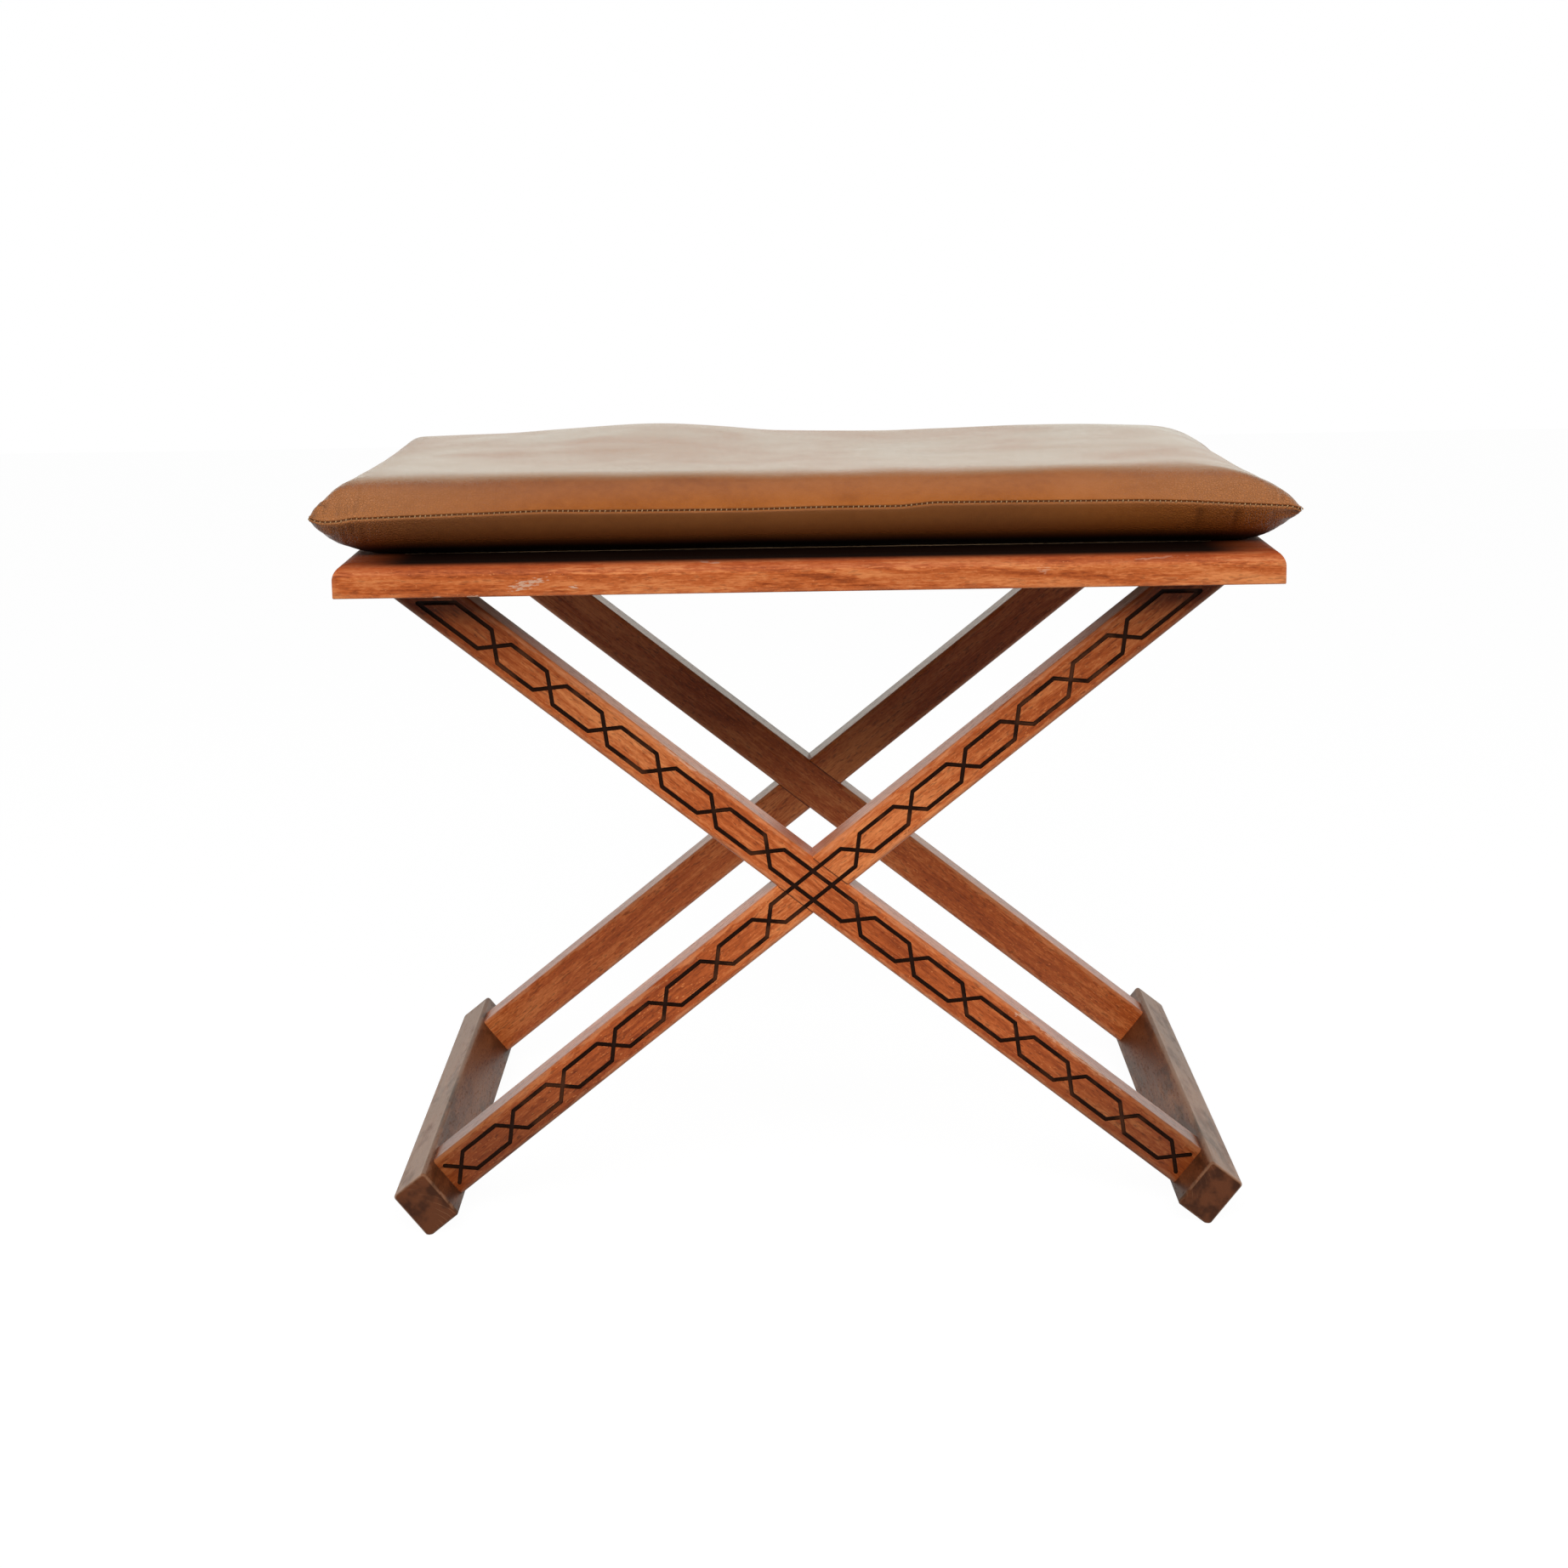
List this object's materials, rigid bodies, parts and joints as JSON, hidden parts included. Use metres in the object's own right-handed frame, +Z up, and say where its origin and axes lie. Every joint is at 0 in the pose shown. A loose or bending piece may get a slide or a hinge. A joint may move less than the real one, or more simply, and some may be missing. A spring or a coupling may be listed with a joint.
{
  "type": "camel saddle stool",
  "caption": "Low wooden stool on two carved cross frames joined by foot rails, with a framed seat and a loose leather cushion.",
  "frame": {"origin": "on the floor under the middle of the seat, at the bottom centre of the bounding box", "axes": "+X to the right along the long side of the seat, the way the carved cross frames face across; +Y from the front cross frame to the rear one, along the foot rails; +Z up"},
  "size_m": [0.64, 0.442, 0.5107],
  "materials": {
    "leg_wood": "oiled, carved lines burnt dark",
    "foot_wood": "oiled, darkened and worn at the edges",
    "seat_wood": "oiled, satin",
    "panel_wood": "plain plywood, unpolished",
    "dowel_wood": "raw",
    "screw_steel": "dull",
    "cushion_leather": "smooth cognac leather with tan stitching",
    "cushion_filling": "soft filling in cloth"
  },
  "bodies": {
    "stool": {"front_leg_right": "leg_wood", "front_leg_left": "leg_wood", "rear_leg_right": "leg_wood", "rear_leg_left": "leg_wood", "foot_rail_right": "foot_wood", "foot_rail_left": "foot_wood", "foot_dowels": "dowel_wood", "seat_dowels": "dowel_wood", "seat_front_rail": "seat_wood", "seat_rear_rail": "seat_wood", "seat_left_rail": "seat_wood", "seat_right_rail": "seat_wood", "seat_panel": "panel_wood", "panel_screws": "screw_steel"},
    "cushion": {"cushion_top_cover": "cushion_leather", "cushion_bottom_cover": "cushion_leather", "cushion_filling": "cushion_filling"}
  },
  "joints": [
    {"name": "cushion_lift", "type": "slide", "parent": "stool", "child": "cushion", "axis": [0, 0, 1], "range_m": [0, 0.12]}
  ]
}
